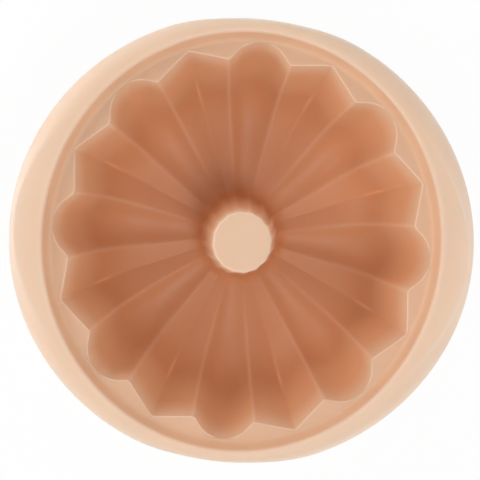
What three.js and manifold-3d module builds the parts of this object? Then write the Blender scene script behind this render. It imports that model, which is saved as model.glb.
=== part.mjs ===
// Silicone fluted tube pan: a soft ring mould with alternating round and pointed flutes, a closed centre tube,
// and a broad rim, widened to a handle at each end, that is moulded over a steel hoop.
// Millimetres, +Z up. The origin is the middle of the base, on the surface the pan stands on. +X runs through the
// right handle.
import * as THREE from "three";
import { mergeVertices } from "three/addons/utils/BufferGeometryUtils.js";
import Module from "manifold-3d";

// Mould
const CAVITY_DIAMETER = 217.6; // across opposite round flutes, at the ledge
const FLUTE_PAIRS = 8; // one round and one pointed flute each
const LOBE_RADIUS = 17.6; // round flute, in plan
const POINT_SHORTFALL = 0.7; // pointed flutes end this far inside the round ones
const POINT_HALF_ANGLE = 62.2; // pointed flute, from its middle line to either side, in degrees
const RIDGE_BLEND = 4.7; // rounding where two flutes meet
const WALL_RUN = 24.3; // how far the wall leans in between the ledge and the floor
const BASE_BEND = 30; // corner between wall and floor, along either leg
const WALL = 2.2; // silicone skin
const FOOT_FLAT = 0.4; // depth cut flat under each flute, to stand on
const EDGE = 0.9; // rounding of the cavity's edge and of the tube's top

// Centre tube
const TUBE_TOP_DIAMETER = 33.2;
const TUBE_RUN = 6.2; // how far the tube spreads between its top and the floor
const TUBE_DROP = 6; // tube's top below the rim's
const TUBE_BEND = 11; // corner between floor and tube, along either leg
const TUBE_SCALLOP = 0.4; // depth of the flutes at the tube's top

// Ledge and rim
const RIM_HEIGHT = 87; // table to the top of the rim
const LEDGE_DROP = 9; // ledge below the top of the rim
const LEDGE_MARGIN = 1.8; // ledge outside the round flutes
const RISER_RUN = 3.6; // how far the rim's inner face leans out on its way up
const CROWN = 1.8; // rounding of the rim's inner top edge
const RIM_BAND = 7; // inner top edge to outer edge, halfway between the handles
const RIM_FLAT = 2.7; // flat part of that band
const RIM_EDGE = 2.4; // thickness of the rim's outer edge
const SKIRT_BULGE = 0.7; // fullness of the rim's fall from the flat to the outer edge

// Handles
const HANDLE_REACH = 18.2; // inner top edge to outer edge, in the middle of a handle
const HANDLE_LIP = 2.4; // part of that reach that turns down
const HANDLE_EDGE = 4.5; // thickness of a handle's outer edge
const HANDLE_TAPER = 9; // how quickly a handle narrows to the rim, as a power of the cosine
const HANDLE_SHOULDER = 1.6; // step in the outer edge where a handle starts
const SHOULDER_FROM = 84; // start of that step, from a handle's middle, in degrees
const SHOULDER_TO = 64; // end of that step
const HANDLE_HALF_SPAN = 36; // from a handle's middle to its end, in degrees

// Steel hoop
const HOOP_WIRE = 2.5;
const HOOP_INSET = 1.8; // middle of the wire outside the rim's inner top edge
const FLANGE_COVER = 0.8; // mould's flange beyond the hoop's channel

// The soft wall stands in along the handles and out across them by this share.
const OVAL = 0.025;
// Gap between pieces that are bonded or moulded onto each other.
const SEAM = 0.3;

// Steps around and along the surfaces
const BODY_FLANK_STEPS = 4;
const TUBE_FLANK_STEPS = 2;
const LINE_STEPS = 2;
const BEND_STEPS = 4;
const SKIRT_STEPS = 4;
const RIM_STEPS = 72;
const WIRE_SIDES = 8;

const CAVITY_RADIUS = CAVITY_DIAMETER / 2;
const TUBE_TOP_RADIUS = TUBE_TOP_DIAMETER / 2;
const LEDGE_RADIUS = CAVITY_RADIUS + LEDGE_MARGIN;
const RIM_RADIUS = LEDGE_RADIUS + RISER_RUN;
const HOOP_RADIUS = RIM_RADIUS + HOOP_INSET;
const CHANNEL_HALF = HOOP_WIRE / 2 + SEAM;
const FLANGE_RADIUS = HOOP_RADIUS + CHANNEL_HALF + FLANGE_COVER;
const HANDLE_ROOT = HOOP_RADIUS + CHANNEL_HALF + RIM_EDGE;
const HANDLE_RADIUS = RIM_RADIUS + HANDLE_REACH;
const LEDGE_Z = RIM_HEIGHT - LEDGE_DROP;
const RIM_FOOT_Z = LEDGE_Z + SEAM;
const TUBE_Z = RIM_HEIGHT - TUBE_DROP;
const FLOOR_Z = WALL - FOOT_FLAT;
const PAIR_ANGLE = (2 * Math.PI) / FLUTE_PAIRS;

const wasm = await Module();
wasm.setup();
const { lerp, smoothstep, degToRad } = THREE.MathUtils;
const at = (radius, height) => new THREE.Vector2(radius, height);

// A point of the pan from its plan radius, angle and height, with the oval stand of the soft wall.
function place(radius, angle, height) {
  const x = radius * Math.cos(angle) * (1 - OVAL);
  const y = radius * Math.sin(angle) * (1 + OVAL);
  return new THREE.Vector3(x, y, height);
}

function evenAngles(steps) {
  return Array.from({ length: steps }, (_, i) => (2 * Math.PI * i) / steps);
}

// Flutes in plan

// The larger of two radii, rounded where they cross.
function blendedLargest(a, b) {
  const overlap = Math.max(RIDGE_BLEND - Math.abs(a - b), 0) / RIDGE_BLEND;
  return Math.max(a, b) + (overlap * overlap * RIDGE_BLEND) / 4;
}

// A round flute is a circle that touches the cavity's diameter from inside.
function roundFlute(angle) {
  const centre = CAVITY_RADIUS - LOBE_RADIUS;
  const across = Math.min(centre * Math.sin(Math.abs(angle)), LOBE_RADIUS);
  return centre * Math.cos(angle) + Math.sqrt(LOBE_RADIUS ** 2 - across ** 2);
}

// A pointed flute is two straight sides that meet on its middle line.
function pointedFlute(angle) {
  const half = degToRad(POINT_HALF_ANGLE);
  const tip = CAVITY_RADIUS - POINT_SHORTFALL;
  return (tip * Math.sin(half)) / Math.sin(half + Math.abs(angle));
}

// The cavity's edge at the ledge. Round flutes lie at whole pair angles, pointed ones halfway between.
function cavityEdge(angle) {
  const turn = angle / PAIR_ANGLE;
  const fromRound = (turn - Math.round(turn)) * PAIR_ANGLE;
  const fromPoint = PAIR_ANGLE / 2 - Math.abs(fromRound);
  return blendedLargest(roundFlute(fromRound), pointedFlute(fromPoint));
}

// The ridge between a round and a pointed flute, where the edge comes closest to the axis.
function findRidge() {
  const SEARCH_STEPS = 2000;
  let ridge = 0;
  for (let i = 1; i <= SEARCH_STEPS; i++) {
    const angle = ((i / SEARCH_STEPS) * PAIR_ANGLE) / 2;
    if (cavityEdge(angle) < cavityEdge(ridge)) ridge = angle;
  }
  return ridge;
}

const RIDGE_ANGLE = findRidge();
const FLUTE_DEPTH = CAVITY_RADIUS - cavityEdge(RIDGE_ANGLE);

// Angles around the pan that fall on every ridge and on the middle of every flute.
function fluteAngles(flankSteps) {
  const half = [];
  for (let i = 0; i < flankSteps; i++) half.push(lerp(0, RIDGE_ANGLE, i / flankSteps));
  for (let i = 0; i < flankSteps; i++) half.push(lerp(RIDGE_ANGLE, PAIR_ANGLE / 2, i / flankSteps));
  const back = half.slice(1).reverse();
  const pair = [...half, PAIR_ANGLE / 2, ...back.map((angle) => PAIR_ANGLE - angle)];
  const angles = [];
  for (let k = 0; k < FLUTE_PAIRS; k++) angles.push(...pair.map((angle) => angle + k * PAIR_ANGLE));
  return angles;
}

// Skin of the mould in section

// A path through corner points whose inner corners are rounded over the given lengths.
function roundedPath(corners, bends) {
  const path = new THREE.Path();
  path.moveTo(corners[0].x, corners[0].y);
  bends.forEach((bend, i) => {
    const corner = corners[i + 1];
    const before = corners[i].clone().sub(corner).setLength(bend).add(corner);
    const after = corners[i + 2].clone().sub(corner).setLength(bend).add(corner);
    path.lineTo(before.x, before.y);
    path.quadraticCurveTo(corner.x, corner.y, after.x, after.y);
  });
  path.lineTo(corners.at(-1).x, corners.at(-1).y);
  return path;
}

// The line under the flutes, from the cavity's edge down the wall, over the floor and up the tube.
const [wallLine, baseBend, floorLine, tubeBend, tubeLine] = roundedPath(
  [
    at(CAVITY_RADIUS, LEDGE_Z),
    at(CAVITY_RADIUS - WALL_RUN, FLOOR_Z),
    at(TUBE_TOP_RADIUS + TUBE_RUN, FLOOR_Z),
    at(TUBE_TOP_RADIUS, TUBE_Z),
  ],
  [BASE_BEND, TUBE_BEND],
).curves;

// Points of one stretch of that line, each with the direction that leads out of the cavity: level at the wall and
// the tube, straight down at the floor, and turning between them in the corners.
function skinPoints(curve, turnFrom, turnTo) {
  const steps = curve.isLineCurve ? LINE_STEPS : BEND_STEPS;
  return Array.from({ length: steps + 1 }, (_, i) => {
    const point = curve.getPoint(i / steps);
    const turn = lerp(turnFrom, turnTo, i / steps);
    return { point, out: at(Math.cos(turn), -Math.sin(turn)) };
  });
}

// How far a ridge stands in from that line: fully at the ledge, slightly at the tube's top.
function ridgeHeight(radius) {
  const share = (radius - TUBE_TOP_RADIUS) / (CAVITY_RADIUS - TUBE_TOP_RADIUS);
  return lerp(TUBE_SCALLOP, FLUTE_DEPTH, share);
}

// A point of the line moved in to the flute's surface at this angle, and out by a thickness.
function skinAt({ point, out }, angle, thickness) {
  const inward = (CAVITY_RADIUS - cavityEdge(angle)) / FLUTE_DEPTH;
  return point.clone().addScaledVector(out, thickness - ridgeHeight(point.x) * inward);
}

// Lofted solids

function indexed(vertices, faces) {
  return new THREE.BufferGeometry().setFromPoints(vertices).setIndex(faces);
}

// A ring: closed sections, run anticlockwise in radius and height, joined around the axis.
function loftRing(sectionAt, angles) {
  const sections = angles.map((angle) => sectionAt(angle).map((p) => place(p.x, angle, p.y)));
  const count = sections[0].length;
  const faces = [];
  for (let i = 0; i < angles.length; i++) {
    const here = i * count;
    const next = ((i + 1) % angles.length) * count;
    for (let j = 0; j < count; j++) {
      const k = (j + 1) % count;
      faces.push(here + j, next + j, next + k, here + j, next + k, here + k);
    }
  }
  return indexed(sections.flat(), faces);
}

// A closed cup: open sections between two points on the axis, from the lower one to the upper one.
function loftCup(lowest, sectionAt, highest, angles) {
  const sections = angles.map((angle) => sectionAt(angle).map((p) => place(p.x, angle, p.y)));
  const count = sections[0].length;
  const low = angles.length * count;
  const high = low + 1;
  const faces = [];
  for (let i = 0; i < angles.length; i++) {
    const here = i * count;
    const next = ((i + 1) % angles.length) * count;
    faces.push(low, next, here);
    for (let j = 0; j < count - 1; j++) {
      faces.push(here + j, next + j, next + j + 1, here + j, next + j + 1, here + j + 1);
    }
    faces.push(high, here + count - 1, next + count - 1);
  }
  return indexed([...sections.flat(), place(0, 0, lowest), place(0, 0, highest)], faces);
}

// Joins and cuts

function solidOf(geometry) {
  const bare = new THREE.BufferGeometry().setAttribute("position", geometry.getAttribute("position"));
  const merged = mergeVertices(bare.setIndex(geometry.getIndex()));
  return new wasm.Manifold(
    new wasm.Mesh({
      numProp: 3,
      vertProperties: new Float32Array(merged.getAttribute("position").array),
      triVerts: new Uint32Array(merged.getIndex().array),
    }),
  );
}

function geometryOf(solid) {
  const mesh = solid.getMesh();
  const geometry = new THREE.BufferGeometry();
  geometry.setAttribute("position", new THREE.BufferAttribute(new Float32Array(mesh.vertProperties), 3));
  return geometry.setIndex(new THREE.BufferAttribute(new Uint32Array(mesh.triVerts), 1));
}

// Mould

// Wall, floor and foot of the tube in one skin, with the ledge and the flange that carries the rim.
function flutedBody() {
  const skin = [
    ...skinPoints(wallLine, 0, 0),
    ...skinPoints(baseBend, 0, Math.PI / 2).slice(1),
    ...skinPoints(floorLine, Math.PI / 2, Math.PI / 2).slice(1),
    ...skinPoints(tubeBend, Math.PI / 2, Math.PI).slice(1),
  ];
  const sectionAt = (angle) => {
    const inside = skin.map((p) => skinAt(p, angle, 0));
    const outside = skin.map((p) => skinAt(p, angle, WALL)).reverse();
    inside[0].y = LEDGE_Z - EDGE;
    outside.at(-1).y = LEDGE_Z - WALL;
    return [
      ...inside,
      ...outside,
      at(FLANGE_RADIUS, LEDGE_Z - WALL),
      at(FLANGE_RADIUS, LEDGE_Z),
      at(cavityEdge(angle) + EDGE, LEDGE_Z),
    ];
  };
  const belowTable = new THREE.BoxGeometry(4 * CAVITY_RADIUS, 4 * CAVITY_RADIUS, WALL);
  belowTable.translate(0, 0, -WALL / 2);
  const whole = solidOf(loftRing(sectionAt, fluteAngles(BODY_FLANK_STEPS)));
  return geometryOf(whole.subtract(solidOf(belowTable)));
}

// The closed tube, open below, that stands on the foot left by the body.
function centerTube() {
  const skin = skinPoints(tubeLine, Math.PI, Math.PI);
  skin[0].point.y += SEAM;
  const sectionAt = (angle) => {
    const inside = skin.map((p) => skinAt(p, angle, 0));
    const outside = skin.map((p) => skinAt(p, angle, WALL)).reverse();
    inside.at(-1).y = TUBE_Z - EDGE;
    outside[0].y = TUBE_Z - WALL;
    return [...outside, ...inside, at(inside.at(-1).x - EDGE, TUBE_Z)];
  };
  return loftCup(TUBE_Z - WALL, sectionAt, TUBE_Z, fluteAngles(TUBE_FLANK_STEPS));
}

// Rim and handles

// How much of a handle there is at this angle: 1 at its middle, 0 between the handles.
function handleShare(angle) {
  return Math.abs(Math.cos(angle)) ** HANDLE_TAPER;
}

// The rim's outer edge in plan: an ellipse, fuller by the shoulder along the handles.
function rimEdge(angle) {
  const reach = Math.abs(Math.cos(angle));
  const shoulder = smoothstep(reach, Math.cos(degToRad(SHOULDER_FROM)), Math.cos(degToRad(SHOULDER_TO)));
  const long = HANDLE_RADIUS;
  const short = RIM_RADIUS + RIM_BAND + HANDLE_SHOULDER * shoulder;
  return (long * short) / Math.hypot(short * Math.cos(angle), long * Math.sin(angle));
}

// Section of the rim with its handles: flat foot, rounded edge, falling skirt, flat top and leaning riser.
function rimSection(angle) {
  const share = handleShare(angle);
  const edge = rimEdge(angle);
  const lip = RIM_EDGE / 2;
  const edgeTop = lerp(RIM_FOOT_Z + RIM_EDGE, RIM_HEIGHT - lip, share);
  const edgeFoot = edgeTop - lerp(RIM_EDGE, HANDLE_EDGE, share);
  const crease = RIM_RADIUS + lerp(RIM_FLAT, HANDLE_REACH - HANDLE_LIP, share);
  const skirt = new THREE.QuadraticBezierCurve(
    at(edge, edgeTop),
    at(lerp(crease, edge, SKIRT_BULGE), RIM_HEIGHT),
    at(crease, RIM_HEIGHT),
  );
  const riser = new THREE.QuadraticBezierCurve(
    at(RIM_RADIUS + CROWN, RIM_HEIGHT),
    at(RIM_RADIUS, RIM_HEIGHT),
    at(lerp(RIM_RADIUS, LEDGE_RADIUS, CROWN / LEDGE_DROP), RIM_HEIGHT - CROWN),
  );
  return [
    at(LEDGE_RADIUS, RIM_FOOT_Z),
    at(FLANGE_RADIUS, RIM_FOOT_Z),
    at(edge - lip, edgeFoot),
    at(edge, edgeFoot + lip),
    ...skirt.getPoints(SKIRT_STEPS),
    ...riser.getPoints(2),
  ];
}

const wholeRim = solidOf(loftRing(rimSection, evenAngles(RIM_STEPS)));

// A block from the handles' root outwards, about a handle's middle, less a gap on every side that meets the rim.
function handleBlock(middle, gap) {
  const root = HANDLE_ROOT + gap;
  const half = degToRad(HANDLE_HALF_SPAN) - gap / root;
  const outline = new THREE.Shape();
  const corner = (radius, angle) => place(radius, middle + angle, 0);
  const count = Math.round((RIM_STEPS * half) / Math.PI);
  const sweep = Array.from({ length: count + 1 }, (_, i) => lerp(-half, half, i / count));
  const inner = sweep.map((angle) => corner(root, angle));
  const outer = sweep.map((angle) => corner(2 * HANDLE_RADIUS, angle)).reverse();
  outline.setFromPoints([...inner, ...outer]);
  const block = new THREE.ExtrudeGeometry(outline, { depth: RIM_HEIGHT, bevelEnabled: false });
  block.translate(0, 0, LEDGE_Z);
  return solidOf(block);
}

// The channel under the rim that the hoop lies in, open towards the flange.
function hoopChannel() {
  const top = RIM_FOOT_Z + HOOP_WIRE + SEAM;
  const section = [
    at(HOOP_RADIUS - CHANNEL_HALF, LEDGE_Z),
    at(HOOP_RADIUS + CHANNEL_HALF, LEDGE_Z),
    at(HOOP_RADIUS + CHANNEL_HALF, top),
    at(HOOP_RADIUS - CHANNEL_HALF, top),
  ];
  return solidOf(loftRing(() => section, evenAngles(RIM_STEPS)));
}

// The rim without its handles, moulded over the hoop onto the flange.
function rimFlange() {
  const channelled = wholeRim.subtract(hoopChannel());
  return geometryOf(channelled.subtract(handleBlock(0, 0)).subtract(handleBlock(Math.PI, 0)));
}

function handle(middle) {
  return geometryOf(wholeRim.intersect(handleBlock(middle, SEAM)));
}

// Round steel wire, butt-welded to a closed hoop, lying on the flange.
function rimHoop() {
  const middle = at(HOOP_RADIUS, RIM_FOOT_Z + HOOP_WIRE / 2);
  const spoke = (turn) => at(Math.cos(turn), Math.sin(turn)).multiplyScalar(HOOP_WIRE / 2);
  const section = evenAngles(WIRE_SIDES).map((turn) => spoke(turn).add(middle));
  return loftRing(() => section, evenAngles(RIM_STEPS));
}

// Materials and assembly

const silicone = new THREE.MeshStandardMaterial({ color: 0xdfa785, roughness: 0.55, metalness: 0 });
const steel = new THREE.MeshStandardMaterial({ color: 0xb9bcc0, roughness: 0.3, metalness: 1 });

function piece(name, geometry, material) {
  const mesh = new THREE.Mesh(geometry, material);
  mesh.name = name;
  return mesh;
}

const pan = new THREE.Group();
pan.add(piece("fluted_body", flutedBody(), silicone));
pan.add(piece("center_tube", centerTube(), silicone));
pan.add(piece("rim_flange", rimFlange(), silicone));
pan.add(piece("right_handle", handle(0), silicone));
pan.add(piece("left_handle", handle(Math.PI), silicone));
pan.add(piece("rim_hoop", rimHoop(), steel));

export default pan;
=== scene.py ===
"""Soft silicone ring-cake pan with alternating round and pointed flutes.

It has a closed centre tube and a broad rim that widens to two handles. Its silicone is one moulding, so it
is one closed skin, worked out as a surface over an angle and a section line. Sizes are in metres, in the
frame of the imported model: +Z up out of the cavity, +X through the right handle, the origin on the table
under the middle.
"""

import bpy
import numpy as np
from bpy.props import FloatProperty, FloatVectorProperty, IntProperty, PointerProperty
from mathutils import Matrix, Vector


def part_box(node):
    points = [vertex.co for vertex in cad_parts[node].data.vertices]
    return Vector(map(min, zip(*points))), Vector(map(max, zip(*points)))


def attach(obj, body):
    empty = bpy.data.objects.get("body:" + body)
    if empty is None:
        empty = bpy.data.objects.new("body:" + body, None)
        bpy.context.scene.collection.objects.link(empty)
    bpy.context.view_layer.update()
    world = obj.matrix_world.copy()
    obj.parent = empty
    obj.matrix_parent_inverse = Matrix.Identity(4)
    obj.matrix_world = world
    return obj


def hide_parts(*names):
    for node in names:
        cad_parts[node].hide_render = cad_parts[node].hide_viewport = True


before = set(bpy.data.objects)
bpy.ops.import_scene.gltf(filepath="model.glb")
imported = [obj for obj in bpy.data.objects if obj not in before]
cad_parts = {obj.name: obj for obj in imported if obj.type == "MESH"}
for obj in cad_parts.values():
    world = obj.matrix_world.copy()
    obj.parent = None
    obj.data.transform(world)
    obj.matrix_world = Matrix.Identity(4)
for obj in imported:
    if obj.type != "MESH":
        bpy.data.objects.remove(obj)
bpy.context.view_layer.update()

bl_info = {
    "name": "Fluted Tube Pan",
    "version": (1, 0, 0),
    "blender": (4, 5, 0),
    "location": "View3D > Sidebar > Tube Pan",
    "description": "Builds a soft fluted ring-cake pan with its rim, handles and studio",
    "category": "Object",
}

BODY = "root"
SILICONE = "satin_peach_silicone"
STEEL = "drawn_steel_wire"
WHITE = (1.0, 1.0, 1.0, 1.0)
MM = 0.001

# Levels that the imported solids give, and the difference below which two heights are one level
LEDGE_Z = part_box("fluted_body")[1][2]
RIM_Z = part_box("rim_flange")[1][2]
TUBE_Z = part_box("center_tube")[1][2]
SAME_LEVEL = 0.01 * MM

# Steps between the surface's rows, along each stretch of the section
WALL_STEPS = 12
BEND_STEPS = 20
FLOOR_STEPS = 8
FOOT_STEPS = 12
TUBE_STEPS = 12
TUBE_EDGE_STEPS = 6
ROOT_STEPS = 5
CORNER_STEPS = 3
UNDER_RIM_STEPS = 4
NOSE_STEPS = 4
EDGE_STEPS = 2
SKIRT_STEPS = 14
CROWN_STEPS = 7
RISER_STEPS = 4
FILLET_STEPS = 6
LEDGE_STEPS = 4
LIP_STEPS = 5

# The underside, which is smoother, has one row for so many of the cavity's
UNDERSIDE_STRIDE = 2

# Steps round the pan from a flute's middle to the ridge beside it, and trial angles to find that ridge
FLANK_STEPS = 17
RIDGE_TRIALS = 4001

# Shares of the way over the rim's flat top at which it has rows, the first close to the handle's crease
FLAT_SHARES = np.array([0.04, 0.1, 0.25, 0.45, 0.65, 0.85, 1.0])[:, None, None]

# Shares of the radius of the tube's top at which it has rows
DISC_SHARES = np.array([0.9, 0.7, 0.45, 0.2])[:, None]

# Places on the scale of tones, painted shading from painted shade in the cavity's corners to painted light
# on the rim
CORNER_SHADE, CAVITY, RISER, LEDGE, DISC, RIM = 0.0, 0.3, 0.55, 0.65, 0.9, 1.0

# The riser's tones, painted shade that darkens its face below the rim, and the shares of its height at
# which it has them
RISER_TONES = (LEDGE, RISER, RISER, RIM)
RISER_LEVELS = (0.0, 0.2, 0.7, 0.95)

# How pale the painted highlights on the rounded edges and ridges are, and the painted light on the rim's
# outer part
LIP_PAINTED_HIGHLIGHT = 0.6
RIDGE_PAINTED_HIGHLIGHT = 0.2
TUBE_EDGE_PAINTED_HIGHLIGHT = 0.5
RIM_EDGE_PAINTED_LIGHT = 0.65
CROWN_PAINTED_HIGHLIGHT = 0.3

# Depth of the painted shade above the base bend, beside that above the tube's foot, and how much ridges are
# spared
BEND_SHADE_SHARE = 0.45
RIDGE_SPARED = 0.6


# Kinds of values that a user may change

def length(name, description, millimetres):
    """A size, kept in metres."""
    return FloatProperty(name=name, description=description, default=millimetres * MM, min=0.0, precision=5,
                         subtype="DISTANCE", unit="LENGTH")


def angle(name, description, degrees):
    """An angle, kept in radians."""
    return FloatProperty(name=name, description=description, default=np.radians(degrees), subtype="ANGLE",
                         unit="ROTATION")


def share(name, description, default):
    """A share between 0 and 1."""
    return FloatProperty(name=name, description=description, default=default, min=0.0, max=1.0, precision=4,
                         subtype="FACTOR")


def number(name, description, default):
    """A plain number."""
    return FloatProperty(name=name, description=description, default=default, min=0.0, precision=4)


def colour(name, description, default):
    """A colour in linear light."""
    return FloatVectorProperty(name=name, description=description, default=default, size=3, min=0.0,
                               max=1.0, subtype="COLOR")


class MouldSizes(bpy.types.PropertyGroup):
    """Sizes of the fluted mould and its tube."""

    cavity_diameter: length("Cavity", "Across opposite round flutes, at the ledge", 217.6)
    flute_pairs: IntProperty(name="Flute pairs", description="One round and one pointed flute each",
                             default=8, min=3)
    lobe_radius: length("Round flute", "Radius of a round flute in plan", 17.6)
    point_shortfall: length("Point shortfall", "Pointed flutes end this far inside the round ones", 0.7)
    point_half_angle: angle("Point half angle", "From a pointed flute's middle line to either side", 62.2)
    point_round: angle("Point rounding", "Angle over which a pointed flute's crease is rounded", 0.5)
    ridge_blend: length("Ridge rounding", "Rounding where two flutes meet, at the ledge", 4.7)
    ridge_spread: share("Ridge spread", "How quickly that rounding grows towards the axis", 0.1)
    ridge_widest: length("Widest rounding", "Largest rounding of the ridges", 9.0)
    wall_run: length("Wall run", "How far the wall leans in between the ledge and the floor", 24.3)
    base_bend: length("Base bend", "Corner between wall and floor, along either leg", 30.0)
    wall: length("Wall", "Thickness of the silicone skin", 2.2)
    foot_flat: length("Foot flat", "Depth cut flat under each flute", 0.4)
    edge: length("Edge", "Rounding of the cavity's edge", 0.9)
    ledge_reach: length("Ledge reach", "Flange outside the round flutes", 9.55)
    flange_corner: length("Flange corner", "Rounding of the flange's corners", 0.8)
    flange_root: length("Flange root", "Rounding between the wall's outside and the flange", 1.6)
    tube_top_diameter: length("Tube top", "Across the tube's closed top", 33.2)
    tube_edge: length("Tube edge", "Rounding of the tube's top edge", 1.5)
    tube_run: length("Tube run", "How far the tube spreads between its top and the floor", 6.2)
    tube_bend: length("Tube bend", "Corner between floor and tube, along either leg", 11.0)
    tube_scallop: length("Tube scallop", "Depth of the flutes at the tube's top", 0.4)
    # The paler ridge line is a painted highlight, and the glow on the pointed flutes' creases is painted
    # light.
    ridge_line: length("Ridge line", "Width of the paler line along each ridge", 1.2)
    crease_line: length("Crease line", "Width of the glow on each pointed flute's crease", 0.8)
    glow_at: length("Glow at", "Middle of that glow, down the wall from the ledge", 62.0)
    glow_run: length("Glow run", "Length of that glow", 11.0)
    # fade and tube_fade paint light that makes the wall and the tube paler towards their tops; bend_shade
    # and tube_shade paint shade in the corners above the base bend and the tube's foot.
    fade: length("Fade", "Height below the ledge over which the wall turns paler", 18.0)
    tube_fade: length("Tube fade", "Height below the tube's top over which the tube turns paler", 20.0)
    bend_shade: length("Bend shade", "Half the length of the deeper colour above the base bend", 16.0)
    tube_shade: length("Tube shade", "Half the length of the deeper colour above the tube's foot", 17.0)
    oval: share("Oval", "How far the soft wall stands in along the handles and out across them", 0.025)


class RimSizes(bpy.types.PropertyGroup):
    """Sizes of the rim and its handles."""

    foot_radius: length("Foot radius", "Where the rim rises from the ledge", 110.6)
    riser_run: length("Riser run", "How far the inner face leans out on its way up", 3.6)
    crown: length("Crown", "Rounding of the inner top edge, down the riser", 1.8)
    crown_share: share("Crown share", "Its reach over the flat, beside that down the riser", 0.6)
    band: length("Band", "Inner top edge to outer edge, halfway between the handles", 7.0)
    flat: length("Flat", "Flat part of that band", 2.7)
    edge: length("Edge", "Thickness of the outer edge", 2.4)
    bulge: share("Skirt bulge", "Fullness of the fall from the flat to the outer edge", 0.7)
    handle_reach: length("Handle reach", "Inner top edge to outer edge, in the middle of a handle", 18.2)
    handle_lip: length("Handle lip", "Part of that reach that turns down", 2.4)
    handle_edge: length("Handle edge", "Thickness of a handle's outer edge", 4.5)
    handle_bulge: share("Handle bulge", "Fullness of a handle's lip, which starts at a slight crease", 0.12)
    handle_taper: number("Handle taper", "How quickly a handle narrows, as a power of the cosine", 9.0)
    shoulder: length("Handle shoulder", "Step in the outer edge where a handle starts", 1.6)
    shoulder_from: angle("Shoulder from", "Start of that step, from a handle's middle", 84.0)
    shoulder_to: angle("Shoulder to", "End of that step, from a handle's middle", 64.0)
    # The paler line along a handle's crease is a painted highlight.
    crease_line: length("Crease line", "Width of the paler line along a handle's crease", 0.9)
    fillet_in: length("Fillet in", "Rounding between ledge and riser, along the ledge", 2.0)
    fillet_up: length("Fillet up", "Rounding between ledge and riser, up the riser", 5.0)


class Finishes(bpy.types.PropertyGroup):
    """Colours and gloss."""

    # The first colour is painted shade in the cavity's corners, the second is the skin's own colour in the
    # cavity, and the next two are painted light, less on the ledge than on the rim and the tube's top.
    corner_shade: colour("Deep", "Colour in the corners of the cavity", (0.64, 0.285, 0.137))
    silicone: colour("Silicone", "Colour of the thin skin in the cavity", (0.74, 0.367, 0.19))
    ledge: colour("Ledge", "Colour at the ledge, where the skin turns over", (0.80, 0.525, 0.35))
    rim: colour("Rim", "Paler colour of the thick rim and the tube's top", (0.86, 0.625, 0.452))
    # A painted highlight along the rounded edges and ridges, and painted light on the rim's outer part.
    pale: colour("Pale edge", "Colour along the rounded edges and ridges", (0.95, 0.80, 0.69))
    # Painted light: a glow on the pointed flutes' creases.
    painted_glow: colour("Glow", "Colour of the thin skin at the creases", (0.95, 0.50, 0.28))
    highlight_share: share("Pale share", "How strong the pale edges are", 0.7)
    glow_share: share("Glow share", "How strong the glowing creases are", 0.7)
    mottle: share("Mottle", "How much darker its faint cloudy patches are", 0.06)
    cloud_scale: number("Cloud scale", "Fineness of those patches", 26.0)
    cloud_detail: number("Cloud detail", "Octaves of those patches", 4.0)
    grain_scale: number("Grain scale", "Fineness of the moulded grain", 1400.0)
    grain_detail: number("Grain detail", "Octaves of the moulded grain", 3.0)
    grain_strength: share("Grain strength", "How clearly the grain shows", 0.12)
    grain_depth: length("Grain depth", "Depth of the grain", 0.1)
    reach: colour("Reach", "How far red, green and blue light travel inside, as shares", (1.0, 0.65, 0.5))
    reach_depth: length("Reach depth", "How far light travels inside the silicone", 0.4)
    roughness_low: share("Least roughness", "Roughness of the satin silicone where it is glossiest", 0.41)
    roughness_high: share("Most roughness", "Roughness of the satin silicone where it is dullest", 0.53)
    refraction: number("Refraction", "Index of refraction of silicone", 1.41)
    sheen: share("Sheen", "Strength of its powdery sheen", 0.3)
    sheen_roughness: share("Sheen roughness", "Roughness of that sheen", 0.45)
    sheen_tint: colour("Sheen tint", "Colour of that sheen", (1.0, 0.80, 0.58))
    steel: colour("Steel", "Colour of the hoop's wire", (0.56, 0.57, 0.59))
    wire_scale: number("Wire scale", "Fineness of the drawn lines on the wire", 900.0)
    wire_low: share("Least wire roughness", "Roughness of the wire where it is glossiest", 0.22)
    wire_high: share("Most wire roughness", "Roughness of the wire where it is dullest", 0.40)


class StageSizes(bpy.types.PropertyGroup):
    """Camera, sky and floor."""

    distance: length("Camera distance", "From the camera to the ledge", 900.0)
    lens: FloatProperty(name="Lens", description="Focal length in millimetres", default=120.6, min=1.0,
                        subtype="DISTANCE_CAMERA", unit="CAMERA")
    roll: angle("Roll", "How far the pan is turned in the picture", 5.7)
    lean: angle("Lean", "How far the camera stands off the vertical", 3.5)
    lean_towards: angle("Lean towards", "Direction of that lean in the picture, from its right side", 112.0)
    aim_right: length("Aim right", "The pan's middle lies this far right of the picture's", 1.0)
    aim_down: length("Aim down", "The pan's middle lies this far below the picture's", 1.1)
    sky_low: number("Low sky", "Strength of the white surroundings at the horizon", 0.94)
    sky_high: number("High sky", "Strength of the white surroundings straight above", 0.2)
    floor: colour("Floor", "Colour of the pale floor", (0.92, 0.92, 0.92))
    floor_roughness: share("Floor roughness", "Roughness of the pale floor", 0.9)
    floor_white: share("Floor white", "How much plain white covers it where it is seen directly", 0.95)
    floor_side: length("Floor side", "Side of the square floor", 6000.0)


def lamp_group(title, side, height, distance, size, watts):
    """The property group of one square light, with its place about the pan."""
    fields = {
        "side": angle(f"{title} side", "Side of the picture that the light is on, from the right", side),
        "height": angle(f"{title} height", "Elevation of the light", height),
        "distance": length(f"{title} distance", "From the pan to the light", distance),
        "size": length(f"{title} size", "Side of the square light", size),
        "power": FloatProperty(name=f"{title} power", description="Power of the light", default=watts,
                               min=0.0, subtype="POWER", unit="POWER"),
    }
    return type(f"{title}Lamp", (bpy.types.PropertyGroup,), {"__annotations__": fields})


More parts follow.
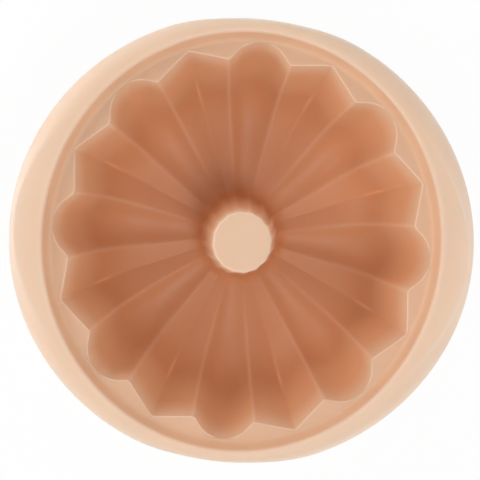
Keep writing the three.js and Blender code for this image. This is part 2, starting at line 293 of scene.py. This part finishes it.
LAMPS = {
    "key": lamp_group("Key", side=160.0, height=25.0, distance=700.0, size=400.0, watts=1.77),
    "fill": lamp_group("Fill", side=262.0, height=46.0, distance=1100.0, size=1000.0, watts=2.6),
    "back": lamp_group("Back", side=0.0, height=14.0, distance=1100.0, size=700.0, watts=1.6),
    "head": lamp_group("Head", side=93.0, height=20.0, distance=900.0, size=250.0, watts=0.72),
    "top": lamp_group("Top", side=300.0, height=71.0, distance=1100.0, size=260.0, watts=2.6),
}


# Surfaces

def closed_loft(rings, low, high):
    """Vertices, quads and triangles of a closed surface whose rows run round the axis.

    rings is an array (rows, angles, 3), whose rows follow the section anticlockwise in radius and height,
    from the point low on the axis to the point high on it.
    """
    rows, count, _ = rings.shape
    row, turn = np.meshgrid(np.arange(rows - 1), np.arange(count), indexing="ij")
    onward = (turn + 1) % count
    here = row * count
    above = here + count
    quads = np.stack([here + turn, here + onward, above + onward, above + turn], -1)
    first = np.arange(count)
    second = np.roll(first, -1)
    last_row = (rows - 1) * count
    low_fan = np.stack([np.full(count, rows * count), second, first], -1)
    high_fan = np.stack([np.full(count, rows * count + 1), last_row + first, last_row + second], -1)
    vertices = np.vstack([rings.reshape(-1, 3), low, high])
    return vertices, quads.reshape(-1, 4), np.vstack([low_fan, high_fan])


def mesh_object(name, vertices, quads, triangles, material):
    """A smooth-shaded object at the origin from whole arrays of vertices, quads and triangles."""
    mesh = bpy.data.meshes.new(name)
    corners = np.concatenate([quads.ravel(), triangles.ravel()]).astype(np.int32)
    sizes = np.concatenate([np.full(len(quads), 4), np.full(len(triangles), 3)])
    starts = np.concatenate([[0], np.cumsum(sizes)[:-1]]).astype(np.int32)
    mesh.vertices.add(len(vertices))
    mesh.vertices.foreach_set("co", np.asarray(vertices, np.float32).ravel())
    mesh.loops.add(len(corners))
    mesh.loops.foreach_set("vertex_index", corners)
    mesh.polygons.add(len(sizes))
    mesh.polygons.foreach_set("loop_start", starts)
    mesh.update(calc_edges=True)
    mesh.validate()
    mesh.polygons.foreach_set("use_smooth", np.ones(len(mesh.polygons), bool))
    mesh.materials.append(material)
    piece = bpy.data.objects.new(name, mesh)
    bpy.context.scene.collection.objects.link(piece)
    return piece


def mark(piece, name, values):
    """Keeps a number for each vertex of a loft: those of its rows, and end rows' means on the axis."""
    store = piece.data.attributes.new(name, "FLOAT", "POINT")
    kept = np.concatenate([values.ravel(), values[[0, -1]].mean(1)])
    store.data.foreach_set("value", kept.astype(np.float32))


def oval_place(radius, turn, height, oval):
    """Points at a plan radius, angle and height: x is r cos t (1 - o) and y is r sin t (1 + o)."""
    x = radius * np.cos(turn) * (1 - oval)
    y = radius * np.sin(turn) * (1 + oval)
    return np.stack(np.broadcast_arrays(x, y, height), -1)


def straight(start, end, steps):
    """Points of a straight line: (1-t) start + t end, over the first axis."""
    return np.linspace(start, end, steps + 1)


def bezier(start, control, end, steps):
    """Points of a quadratic curve: (1-t)(1-t) start + 2t(1-t) control + t t end, over the first axis."""
    t = np.linspace(0.0, 1.0, steps + 1)
    t = t.reshape((-1,) + (1,) * np.ndim(start))
    return (1 - t) ** 2 * start + 2 * t * (1 - t) * control + t ** 2 * end


def rounding(radius, height, size, outward, steps):
    """A quarter circle in section, from its upright end at the radius up to its level end at the height.

    At the angle a the radius is r + o s (1 - cos a) and the height is h - s (1 - sin a), with o 1 or -1.
    """
    sweep = np.linspace(0, np.pi / 2, steps + 1)[:, None]
    across = radius + outward * size * (1 - np.cos(sweep))
    up = height - size * (1 - np.sin(sweep))
    return np.stack(np.broadcast_arrays(across, up), 1)


# Flutes in plan

def from_flutes(turn, sizes):
    """Angles from the nearest round flute's middle, and from the nearest pointed flute's."""
    pair = 2 * np.pi / sizes.flute_pairs
    from_round = np.abs(turn / pair - np.round(turn / pair)) * pair
    return from_round, pair / 2 - from_round


def cavity_edge(turn, sizes, blend):
    """Radius of the cavity's edge at an angle.

    A round flute is a circle that touches the cavity's diameter from inside, at c cos a plus the root of
    r r - c c sin a sin a. A pointed flute is two straight sides, at tip sin h / sin(h + a), where a is
    rounded over a small angle at the crease. The edge is the larger of the two, raised by a parabola where
    they cross, over the blend.
    """
    radius = sizes.cavity_diameter / 2
    from_round, from_point = from_flutes(turn, sizes)
    centre = radius - sizes.lobe_radius
    across = np.minimum(centre * np.sin(from_round), sizes.lobe_radius)
    lobe = centre * np.cos(from_round) + np.sqrt(sizes.lobe_radius ** 2 - across ** 2)
    soft = np.sqrt(from_point ** 2 + sizes.point_round ** 2) - sizes.point_round / 2
    half = sizes.point_half_angle
    point = (radius - sizes.point_shortfall) * np.sin(half) / np.sin(half + soft)
    overlap = np.maximum(blend - np.abs(lobe - point), 0) / blend
    return np.maximum(lobe, point) + overlap ** 2 * blend / 4


def ridge_angle(sizes):
    """Angle from a round flute's middle to the ridge beside it, where the edge is closest to the axis."""
    trial = np.linspace(0, np.pi / sizes.flute_pairs, RIDGE_TRIALS)
    return trial[np.argmin(cavity_edge(trial, sizes, sizes.ridge_blend))]


def flute_angles(sizes):
    """Angles round the pan, closer together near the ridges and the creases of the pointed flutes.

    Over an even share s, they go as sin(90 s) from a round flute's middle to the ridge, and as
    (1 - cos(180 s)) / 2 from the ridge to the crease. The other half of each pair of flutes mirrors that.
    """
    pair = 2 * np.pi / sizes.flute_pairs
    ridge = ridge_angle(sizes)
    even = np.arange(FLANK_STEPS) / FLANK_STEPS
    to_ridge = ridge * np.sin(even * np.pi / 2)
    to_point = ridge + (pair / 2 - ridge) * (1 - np.cos(even * np.pi)) / 2
    half = np.concatenate([to_ridge, to_point])
    whole = np.concatenate([half, [pair / 2], pair - half[:0:-1]])
    return (whole[None, :] + pair * np.arange(sizes.flute_pairs)[:, None]).ravel()


# Sections

def skin_line(sizes):
    """The line under the flutes as arrays of radius, height and outward direction.

    It runs from the cavity's edge down the wall, round the base bend, over the floor, round the tube's bend
    and up the tube. The outward direction is level at wall and tube, straight down at the floor, and turns
    evenly in the bends.
    """
    radius = sizes.cavity_diameter / 2
    top = sizes.tube_top_diameter / 2
    floor = sizes.wall - sizes.foot_flat
    corners = np.array([[radius, LEDGE_Z], [radius - sizes.wall_run, floor], [top + sizes.tube_run, floor],
                        [top, TUBE_Z]])
    legs = np.diff(corners, axis=0)
    legs /= np.linalg.norm(legs, axis=1, keepdims=True)
    bend_in = corners[1] - legs[0] * sizes.base_bend
    bend_out = corners[1] + legs[1] * sizes.base_bend
    tube_in = corners[2] - legs[1] * sizes.tube_bend
    tube_out = corners[2] + legs[2] * sizes.tube_bend
    # Each stretch's points, and the outward direction at its two ends in half turns, from level to level
    stretches = [
        (straight(corners[0], bend_in, WALL_STEPS), 0.0, 0.0),
        (bezier(bend_in, corners[1], bend_out, BEND_STEPS), 0.0, 0.5),
        (straight(bend_out, tube_in, FLOOR_STEPS), 0.5, 0.5),
        (bezier(tube_in, corners[2], tube_out, FOOT_STEPS), 0.5, 1.0),
        (straight(tube_out, corners[3], TUBE_STEPS), 1.0, 1.0),
    ]
    points = np.vstack([stretches[0][0]] + [s[0][1:] for s in stretches[1:]])
    turns = [np.linspace(begin, end, len(line)) for line, begin, end in stretches]
    turn = np.pi * np.concatenate([turns[0]] + [t[1:] for t in turns[1:]])
    return points[:, 0], points[:, 1], np.cos(turn), -np.sin(turn)


def mould_skin(turn, sizes):
    """The mould's cavity side and its underside as arrays (rows, 2, angles) of radius and height.

    A point of the line under the flutes moves in by the ridge height times the flute's inward share at that
    angle. The ridge height falls evenly with the radius, and the ridges' rounding grows as the flutes
    narrow. The underside is the same surface, moved out by the wall and cut flat at the table.
    """
    radius = sizes.cavity_diameter / 2
    top = sizes.tube_top_diameter / 2
    depth = radius - cavity_edge(ridge_angle(sizes), sizes, sizes.ridge_blend)
    line_r, line_z, out_r, out_z = (part[:, None] for part in skin_line(sizes))
    blend = np.minimum(sizes.ridge_blend + sizes.ridge_spread * (radius - line_r), sizes.ridge_widest)
    inward = (radius - cavity_edge(turn, sizes, blend)) / depth
    height = sizes.tube_scallop + (depth - sizes.tube_scallop) * (line_r - top) / (radius - top)
    shift = -height * inward
    inner = np.stack([line_r + out_r * shift, line_z + out_z * shift], 1)
    shift = shift + sizes.wall
    outer = np.stack([line_r + out_r * shift, np.maximum(line_z + out_z * shift, 0.0)], 1)
    return inner, outer


def handle_share(turn, rim):
    """How much of a handle there is at an angle: a power of the cosine, 1 in the handle's middle."""
    return np.abs(np.cos(turn)) ** rim.handle_taper


def rim_skin(turn, rim, mould):
    """The rim from under the flange over its outer edge and top to the ledge, as (rows, 2, angles).

    The outer edge is an ellipse in plan, fuller by the shoulder along the handles, which comes in smoothly
    as s s (3 - 2 s) over a share s of the way between two cosines. The handles' share widens the flat top,
    lifts the edge and thickens it. Fillet, riser, crown, skirt and edge are straight lines and quadratic
    curves.
    """
    handle = handle_share(turn, rim)
    inner = rim.foot_radius + rim.riser_run
    begin, full = np.cos(rim.shoulder_from), np.cos(rim.shoulder_to)
    step = np.clip((np.abs(np.cos(turn)) - begin) / (full - begin), 0, 1)
    along = inner + rim.handle_reach
    across = inner + rim.band + rim.shoulder * step ** 2 * (3 - 2 * step)
    edge = along * across / np.hypot(across * np.cos(turn), along * np.sin(turn))
    lip = rim.edge / 2
    edge_top = (LEDGE_Z + rim.edge) * (1 - handle) + (RIM_Z - lip) * handle
    edge_foot = edge_top - (rim.edge + (rim.handle_edge - rim.edge) * handle)
    crease = inner + rim.flat + (rim.handle_reach - rim.handle_lip - rim.flat) * handle
    bulge = rim.bulge + (rim.handle_bulge - rim.bulge) * handle
    flange = mould.cavity_diameter / 2 + mould.ledge_reach
    below = LEDGE_Z - mould.wall
    corner = mould.flange_corner
    rise = RIM_Z - LEDGE_Z

    def point(radius, height):
        return np.stack([radius + 0 * turn, height + 0 * turn])

    under = point(flange + corner, LEDGE_Z)
    nose_in = point(edge - lip, edge_foot)
    nose_out = point(edge, edge_foot + lip)
    skirt_out = point(edge, edge_top)
    skirt_in = point(crease, RIM_Z)
    crown_out = point(inner + rim.crown * rim.crown_share, RIM_Z)
    crown_in = point(inner - rim.riser_run * rim.crown / rise, RIM_Z - rim.crown)
    fillet_up = point(rim.foot_radius + rim.riser_run * rim.fillet_up / rise, LEDGE_Z + rim.fillet_up)
    fillet_in = point(rim.foot_radius - rim.fillet_in, LEDGE_Z)
    flange_in = point(flange - corner, below)
    flange_out = point(flange, below + corner)
    flange_top = point(flange, LEDGE_Z - corner)
    return np.concatenate([
        bezier(flange_in, point(flange, below), flange_out, CORNER_STEPS),
        bezier(flange_top, point(flange, LEDGE_Z), under, CORNER_STEPS),
        straight(under, nose_in, UNDER_RIM_STEPS)[1:],
        bezier(nose_in, point(edge, edge_foot), nose_out, NOSE_STEPS)[1:],
        straight(nose_out, skirt_out, EDGE_STEPS)[1:],
        bezier(skirt_out, point(crease + (edge - crease) * bulge, RIM_Z), skirt_in, SKIRT_STEPS)[1:],
        skirt_in + (crown_out - skirt_in) * FLAT_SHARES,
        bezier(crown_out, point(inner, RIM_Z), crown_in, CROWN_STEPS)[1:],
        straight(crown_in, fillet_up, RISER_STEPS)[1:],
        bezier(fillet_up, point(rim.foot_radius, LEDGE_Z), fillet_in, FILLET_STEPS)[1:],
    ])


# Marks that paint light and shade on the silicone: paler painted highlights, a painted glow, and painted
# shade where it is deeper in colour

def bell(distance, width):
    """A smooth bump: e to the power of minus the square of distance over width."""
    return np.exp(-(distance / width) ** 2)


def across_edge(steps):
    """A bump over a rounded edge's rows: the sine of half a turn, 0 at both ends and 1 in the middle."""
    return np.sin(np.linspace(0, np.pi, steps + 1))[:, None]


def cavity_marks(turn, sizes):
    """Three masks over the cavity's rows and angles: painted highlights, a painted glow and painted
    shading.

    The highlights on the ridges and the glow on the creases are bells of the distance from their line. The
    ridges fade out from two to one tube diameters from the axis, and the glow is also a bell along the
    section. The shading rises evenly up the wall to the ledge and up the tube to its top, painted light
    towards their tops. It dips by bells above the base bend and above the tube's foot, painted shade in
    those corners, less so at the ridges.
    """
    line_r, line_z, _, _ = (part[:, None] for part in skin_line(sizes))
    steps = np.hypot(np.diff(line_r, axis=0), np.diff(line_z, axis=0))
    run = np.vstack([[[0.0]], np.cumsum(steps, axis=0)])
    from_round, from_point = from_flutes(turn, sizes)
    outside = np.clip((line_r - sizes.tube_top_diameter) / sizes.tube_top_diameter, 0, 1)
    # Painted highlight along each ridge
    pale = bell(line_r * (from_round - ridge_angle(sizes)), sizes.ridge_line) * outside
    # Painted glow along each pointed flute's crease
    painted_glow = bell(line_r * from_point, sizes.crease_line) * bell(run - sizes.glow_at, sizes.glow_run)

    foot_r = sizes.tube_top_diameter / 2 + sizes.tube_run
    bend_r = sizes.cavity_diameter / 2 - sizes.wall_run
    on_tube = line_r < (foot_r + bend_r) / 2
    # Painted light: the wall and the tube grow paler towards their tops
    up_wall = np.clip(1 - (LEDGE_Z - line_z) / sizes.fade, 0, 1) * ~on_tube
    up_tube = np.clip(1 - (TUBE_Z - line_z) / sizes.tube_fade, 0, 1) * on_tube
    paler = (LEDGE - CAVITY) * up_wall + (DISC - CAVITY) * up_tube
    # Painted shade above the base bend and above the tube's foot, less on the ridges
    above_bend = run - run[np.argmin(np.hypot(line_r - bend_r, line_z))] + sizes.bend_shade
    above_foot = run - run[np.argmin(np.hypot(line_r - foot_r, line_z))] - sizes.tube_shade
    shade = BEND_SHADE_SHARE * bell(above_bend, sizes.bend_shade) + bell(above_foot, sizes.tube_shade)
    painted_shading = CAVITY + paler - (CAVITY - CORNER_SHADE) * shade * (1 - RIDGE_SPARED * pale)
    return pale, painted_glow, painted_shading


def rim_marks(turn, section, rim):
    """Two masks over the rim's rows and angles: painted highlights and painted light on its edges, and
    painted shading.

    The rim grows paler with the square of the share of the way out from the inner top edge, painted light
    on its outer part, and a handle is paler still at its crease, by a bell of the distance from it, and on
    the lip outside, a painted highlight. The inner top edge is a little paler too, a painted highlight by a
    bell of the distance from it. The shading is the rim's, but on the riser it follows the share of the way
    up, from the ledge's over a deeper one, painted shade, to the rim's.
    """
    radius, height = section[:, 0], section[:, 1]
    inner = rim.foot_radius + rim.riser_run
    out = np.clip((radius - inner) / (radius.max(0) - inner), 0, 1)
    crease = np.where(height > RIM_Z - SAME_LEVEL, radius, 0).max(0)
    # Painted light on the rim's outer part, and painted highlights at a handle's crease and the inner top
    # edge
    line = bell(np.minimum(radius - crease, 0), rim.crease_line) * (radius > inner)
    outer_edge = np.maximum(RIM_EDGE_PAINTED_LIGHT * out ** 2, handle_share(turn, rim) * line)
    top_edge = CROWN_PAINTED_HIGHLIGHT * bell(np.hypot(radius - inner, height - RIM_Z), rim.crown)
    # Painted shade on the riser
    riser = np.interp((height - LEDGE_Z) / (RIM_Z - LEDGE_Z), RISER_LEVELS, RISER_TONES)
    return outer_edge + top_edge, np.where(radius < inner, riser, RIM)


def pan_section(turn, mould, rim):
    """The closed section of the pan as an array (rows, 2, angles), and its marks as arrays (rows, angles).

    It runs under the tube's top, along the underside, round the rim, over the ledge, down into the cavity,
    over the floor and up the tube to its top. The marks tell the silicone's painted highlights, its painted
    glow and its painted shading.
    """
    inner, outer = mould_skin(turn, mould)
    # The underside ends level, at the flange and under the tube's top
    outer[0, 1] = LEDGE_Z - mould.wall
    outer[-1, 1] = TUBE_Z - mould.wall
    down = outer[1] - outer[0]
    wall_end = outer[0] + down * mould.flange_root / np.hypot(*down)
    root = bezier(wall_end, outer[0], outer[0] + np.array([[mould.flange_root], [0.0]]), ROOT_STEPS)
    around = rim_skin(turn, rim, mould)
    lip = rounding(inner[0, 0], LEDGE_Z, mould.edge, 1, LIP_STEPS)[::-1]
    ledge = straight(around[-1], lip[0], LEDGE_STEPS)[1:-1]
    tube_edge = rounding(inner[-1, 0], TUBE_Z, mould.tube_edge, -1, TUBE_EDGE_STEPS)
    disc_r = tube_edge[-1, 0] * DISC_SHARES
    disc = np.stack([disc_r, np.full_like(disc_r, TUBE_Z)], 1)
    under_r = outer[-1, 0] * DISC_SHARES[::-1]
    under = np.stack([under_r, np.full_like(under_r, TUBE_Z - mould.wall)], 1)
    pale, painted_glow, painted_shading = cavity_marks(turn, mould)
    rim_highlight, rim_shading = rim_marks(turn, around, rim)

    # Each stretch's rows, its painted highlight, its painted glow, and its painted shading
    stretches = [
        (under, 0, 0, CAVITY),
        (outer[:0:-UNDERSIDE_STRIDE], 0, 0, painted_shading[:0:-UNDERSIDE_STRIDE]),
        (root, 0, 0, LEDGE),
        (around, rim_highlight, 0, rim_shading),
        (ledge, 0, 0, LEDGE),
        (lip, LIP_PAINTED_HIGHLIGHT * across_edge(LIP_STEPS), 0, LEDGE),
        (inner[1:-1], RIDGE_PAINTED_HIGHLIGHT * pale[1:-1], painted_glow[1:-1], painted_shading[1:-1]),
        (tube_edge, TUBE_EDGE_PAINTED_HIGHLIGHT * across_edge(TUBE_EDGE_STEPS), 0, DISC),
        (disc, 0, 0, DISC),
    ]
    rows = np.concatenate([stretch[0] for stretch in stretches])
    marks = {}
    for place, name in enumerate(("pale", "painted_glow", "painted_shading"), 1):
        marks[name] = np.concatenate([np.broadcast_to(s[place], s[0][:, 0].shape) for s in stretches])
    return rows, marks


# Materials

def set_inputs(tree, node, inputs):
    """Sets a node's inputs by name or number, each to a value or to the socket that it is linked from."""
    for name, value in inputs.items():
        if isinstance(value, bpy.types.NodeSocket):
            tree.links.new(value, node.inputs[name])
        else:
            node.inputs[name].default_value = value


def add_node(tree, kind, inputs, **settings):
    """A new node with its settings and inputs."""
    node = tree.nodes.new(kind)
    for name, value in settings.items():
        setattr(node, name, value)
    set_inputs(tree, node, inputs)
    return node


def attribute(tree, name):
    """The number that the surface carries under a name."""
    return add_node(tree, "ShaderNodeAttribute", {}, attribute_name=name).outputs["Fac"]


def object_noise(tree, inputs):
    """Noise over the piece's own coordinates."""
    place = add_node(tree, "ShaderNodeTexCoord", {}).outputs["Object"]
    return add_node(tree, "ShaderNodeTexNoise", {"Vector": place, **inputs}).outputs["Fac"]


def ranged(tree, value, low, high):
    """A number between 0 and 1, spread evenly from low to high."""
    inputs = {"Value": value, "To Min": low, "To Max": high}
    return add_node(tree, "ShaderNodeMapRange", inputs).outputs["Result"]


def times(tree, value, amount):
    """A number multiplied by another."""
    return add_node(tree, "ShaderNodeMath", {0: value, 1: amount}, operation="MULTIPLY").outputs["Value"]


def marked_mix(tree, name, strength, base, target):
    """Mixes a colour into another where the surface carries a mark."""
    inputs = {"Factor": times(tree, attribute(tree, name), strength), "A": base, "B": (*target, 1.0)}
    return add_node(tree, "ShaderNodeMix", inputs, data_type="RGBA").outputs["Result"]


def node_material(name):
    """A new node material, its nodes' tree and its shader."""
    material = bpy.data.materials.new(name)
    material.use_nodes = True
    return material, material.node_tree, material.node_tree.nodes["Principled BSDF"]


def painted_shading_ramp(tree, finish):
    """The silicone's colour, by the painted shading that the surface carries, from painted shade in the
    corners to painted light on the rim.
    """
    ramp = add_node(tree, "ShaderNodeValToRGB", {"Fac": attribute(tree, "painted_shading")})
    stops = ramp.color_ramp.elements
    for position, tint in ((CAVITY, finish.silicone), (LEDGE, finish.ledge)):
        stops.new(position).color = (*tint, 1.0)
    stops[0].color = (*finish.corner_shade, 1.0)
    stops[-1].color = (*finish.rim, 1.0)
    return ramp.outputs["Color"]


def silicone_material(finish):
    """Satin translucent silicone: painted shading, painted highlights and a painted glow from its marks,
    faint clouds in its colour, a fine moulded grain and light inside.
    """
    material, tree, shader = node_material(SILICONE)
    clouds = object_noise(tree, {"Scale": finish.cloud_scale, "Detail": finish.cloud_detail})
    # Painted shading, painted highlights and a painted glow, carried by the surface's marks, mixed into the
    # colour
    pale = marked_mix(tree, "pale", finish.highlight_share, painted_shading_ramp(tree, finish), finish.pale)
    painted_glow = marked_mix(tree, "painted_glow", finish.glow_share, pale, finish.painted_glow)
    shade = ranged(tree, clouds, 1.0, 1.0 - finish.mottle)
    mottled = add_node(tree, "ShaderNodeVectorMath", {"Vector": painted_glow, "Scale": shade}, operation="SCALE")
    grain = object_noise(tree, {"Scale": finish.grain_scale, "Detail": finish.grain_detail})
    bump = add_node(tree, "ShaderNodeBump", {
        "Strength": finish.grain_strength,
        "Distance": finish.grain_depth,
        "Height": grain,
    })
    set_inputs(tree, shader, {
        "Base Color": mottled.outputs["Vector"],
        "Normal": bump.outputs["Normal"],
        "Roughness": ranged(tree, clouds, finish.roughness_low, finish.roughness_high),
        "IOR": finish.refraction,
        "Sheen Weight": finish.sheen,
        "Sheen Roughness": finish.sheen_roughness,
        "Sheen Tint": (*finish.sheen_tint, 1.0),
        "Subsurface Weight": 1.0,
        "Subsurface Radius": finish.reach,
        "Subsurface Scale": finish.reach_depth,
    })
    return material


def steel_material(finish):
    """Drawn steel wire: fine lines in its roughness."""
    material, tree, shader = node_material(STEEL)
    lines = object_noise(tree, {"Scale": finish.wire_scale})
    set_inputs(tree, shader, {
        "Base Color": (*finish.steel, 1.0),
        "Metallic": 1.0,
        "Roughness": ranged(tree, lines, finish.wire_low, finish.wire_high),
    })
    return material


# Pieces

class PAN_OT_make_skin(bpy.types.Operator):
    """Builds mould, tube, rim and handles as the one silicone skin that they are moulded as"""

    bl_idname = "pan.make_skin"
    bl_label = "Make Skin"

    def execute(self, context):
        mould = context.scene.pan_mould
        turn = flute_angles(mould)
        section, marks = pan_section(turn, mould, context.scene.pan_rim)
        rings = oval_place(section[:, 0], turn[None, :], section[:, 1], mould.oval)
        low = [[0.0, 0.0, TUBE_Z - mould.wall]]
        high = [[0.0, 0.0, TUBE_Z]]
        vertices, quads, fans = closed_loft(rings, low, high)
        material = silicone_material(context.scene.pan_finish)
        skin = mesh_object("silicone_skin", vertices, quads, fans, material)
        for name, values in marks.items():
            mark(skin, name, values)
        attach(skin, BODY)
        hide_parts("fluted_body", "center_tube", "rim_flange", "right_handle", "left_handle")
        return {"FINISHED"}


class PAN_OT_finish_hoop(bpy.types.Operator):
    """Gives the hoop inside the rim its drawn steel"""

    bl_idname = "pan.finish_hoop"
    bl_label = "Finish Hoop"

    def execute(self, context):
        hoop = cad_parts["rim_hoop"]
        hoop.data.materials.clear()
        hoop.data.materials.append(steel_material(context.scene.pan_finish))
        return {"FINISHED"}


# Stage

def camera_axes(stage):
    """Right, up and backward directions of the picture, from its roll and the camera's lean."""
    right = Vector((np.cos(stage.roll), np.sin(stage.roll), 0.0))
    up = Vector((-np.sin(stage.roll), np.cos(stage.roll), 0.0))
    lean = right * np.cos(stage.lean_towards) + up * np.sin(stage.lean_towards)
    back = (Vector((0.0, 0.0, 1.0)) + lean * np.tan(stage.lean)).normalized()
    right = (right - back * right.dot(back)).normalized()
    return right, back.cross(right), back


def aim(obj, place, right, up, back):
    """Puts a camera or lamp at a place, looking along minus back."""
    turned = Matrix((right, up, back)).transposed().to_4x4()
    obj.matrix_world = Matrix.Translation(place) @ turned


def make_camera(stage):
    """The camera, nearly straight above the pan."""
    right, up, back = camera_axes(stage)
    camera = bpy.data.objects.new("camera", bpy.data.cameras.new("camera"))
    bpy.context.scene.collection.objects.link(camera)
    camera.data.lens = stage.lens
    centre = Vector((0.0, 0.0, LEDGE_Z)) - right * stage.aim_right + up * stage.aim_down
    aim(camera, centre + back * stage.distance, right, up, back)
    bpy.context.scene.camera = camera


def make_lamp(name, lamp, roll):
    """A soft square light, turned to the pan, at a side of the picture given as an angle from the right."""
    turn = lamp.side + roll
    level = np.cos(lamp.height)
    direction = Vector((np.cos(turn) * level, np.sin(turn) * level, np.sin(lamp.height)))
    data = bpy.data.lights.new(name, "AREA")
    data.energy = lamp.power
    data.size = lamp.size
    light = bpy.data.objects.new(name, data)
    bpy.context.scene.collection.objects.link(light)
    across = Vector((0.0, 0.0, 1.0)).cross(direction).normalized()
    place = Vector((0.0, 0.0, LEDGE_Z)) + direction * lamp.distance
    aim(light, place, across, direction.cross(across), direction)


def seen_directly(tree):
    """1 on rays from the camera, and on those mirrored or let through by a piece, else 0."""
    rays = add_node(tree, "ShaderNodeLightPath", {}).outputs
    seen = rays["Is Camera Ray"]
    for ray in ("Is Glossy Ray", "Is Transmission Ray"):
        larger = add_node(tree, "ShaderNodeMath", {0: seen, 1: rays[ray]}, operation="MAXIMUM")
        seen = larger.outputs["Value"]
    return seen


def make_sky(stage):
    """White surroundings that grow weaker with the height, plain white where they are seen directly."""
    world = bpy.data.worlds.new("studio")
    world.use_nodes = True
    tree = world.node_tree
    place = add_node(tree, "ShaderNodeTexCoord", {}).outputs["Generated"]
    height = add_node(tree, "ShaderNodeSeparateXYZ", {"Vector": place}).outputs["Z"]
    level = ranged(tree, height, stage.sky_low, stage.sky_high)
    strength = ranged(tree, seen_directly(tree), level, 1.0)
    set_inputs(tree, tree.nodes["Background"], {"Color": WHITE, "Strength": strength})
    bpy.context.scene.world = world


def make_floor(stage):
    """A pale floor, mostly plain white where it is seen directly, that keeps a little of the shadow."""
    material, tree, shader = node_material("pale_floor")
    set_inputs(tree, shader, {"Base Color": (*stage.floor, 1.0), "Roughness": stage.floor_roughness})
    white = add_node(tree, "ShaderNodeEmission", {"Color": WHITE})
    cover = add_node(tree, "ShaderNodeMixShader", {
        "Fac": times(tree, seen_directly(tree), stage.floor_white),
        1: shader.outputs["BSDF"],
        2: white.outputs["Emission"],
    })
    set_inputs(tree, tree.nodes["Material Output"], {"Surface": cover.outputs["Shader"]})
    corners = stage.floor_side / 2 * np.array([[-1, -1, 0], [1, -1, 0], [1, 1, 0], [-1, 1, 0]])
    floor = mesh_object("floor", corners, np.array([[0, 1, 2, 3]]), np.empty((0, 3), int), material)


class PAN_OT_set_stage(bpy.types.Operator):
    """Sets the camera, the pale floor and the soft studio light"""

    bl_idname = "pan.set_stage"
    bl_label = "Set Stage"

    def execute(self, context):
        scene = context.scene
        make_camera(scene.pan_stage)
        for name in LAMPS:
            make_lamp(name, getattr(scene, f"pan_{name}"), scene.pan_stage.roll)
        make_sky(scene.pan_stage)
        make_floor(scene.pan_stage)
        scene.view_settings.view_transform = "Standard"
        return {"FINISHED"}


# The groups of values by their names in the scene, and those that the panel lists under each step
GROUPS = {"pan_mould": MouldSizes, "pan_rim": RimSizes, "pan_finish": Finishes, "pan_stage": StageSizes}
GROUPS.update({f"pan_{name}": group for name, group in LAMPS.items()})
STEPS = {
    "pan.set_stage": ["pan_stage"] + [f"pan_{name}" for name in LAMPS],
    "pan.make_skin": ["pan_mould", "pan_rim"],
    "pan.finish_hoop": ["pan_finish"],
}


class PAN_PT_sidebar(bpy.types.Panel):
    """Lists the steps that build the pan, with their sizes."""

    bl_idname = "PAN_PT_sidebar"
    bl_label = "Tube Pan"
    bl_space_type = "VIEW_3D"
    bl_region_type = "UI"
    bl_category = "Tube Pan"

    def draw(self, context):
        for step, groups in STEPS.items():
            box = self.layout.box()
            box.operator(step)
            for name in groups:
                for field in GROUPS[name].__annotations__:
                    box.prop(getattr(context.scene, name), field)


CLASSES = (*GROUPS.values(), PAN_OT_set_stage, PAN_OT_make_skin, PAN_OT_finish_hoop, PAN_PT_sidebar)


def register():
    for cls in CLASSES:
        bpy.utils.register_class(cls)
    for name, group in GROUPS.items():
        setattr(bpy.types.Scene, name, PointerProperty(type=group))


def unregister():
    for name in GROUPS:
        delattr(bpy.types.Scene, name)
    for cls in reversed(CLASSES):
        bpy.utils.unregister_class(cls)


def main():
    """Registers the classes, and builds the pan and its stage."""
    register()
    bpy.ops.pan.set_stage()
    bpy.ops.pan.make_skin()
    bpy.ops.pan.finish_hoop()


if __name__ == "__main__":
    main()
